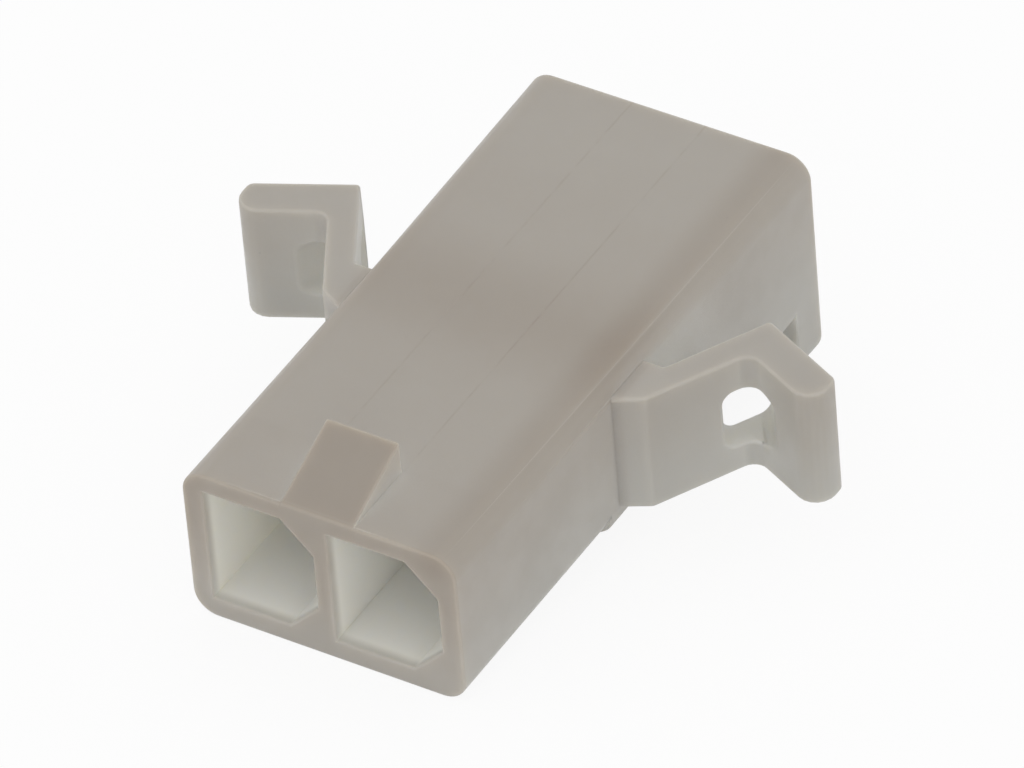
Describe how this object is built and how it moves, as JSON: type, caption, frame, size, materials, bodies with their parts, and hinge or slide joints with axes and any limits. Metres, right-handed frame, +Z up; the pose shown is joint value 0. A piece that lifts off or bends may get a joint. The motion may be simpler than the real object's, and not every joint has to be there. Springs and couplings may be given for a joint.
{
  "type": "wire to board connector housing",
  "caption": "Translucent moulded plug housing with keyed hood cavities, contact bores, a locking ramp, a stop foot and spring ears for a panel cut-out.",
  "frame": {"origin": "centre of the mating face, on the wall between the two hood cavities", "axes": "+Y from the mating face to the wire side, +Z up through the locking ramp, +X towards the keyed side of the cavities"},
  "size_m": [0.0216, 0.0216, 0.0093],
  "materials": {
    "natural_nylon": "translucent natural nylon, satin"
  },
  "bodies": {
    "root": {"housing": "natural_nylon"}
  },
  "joints": []
}
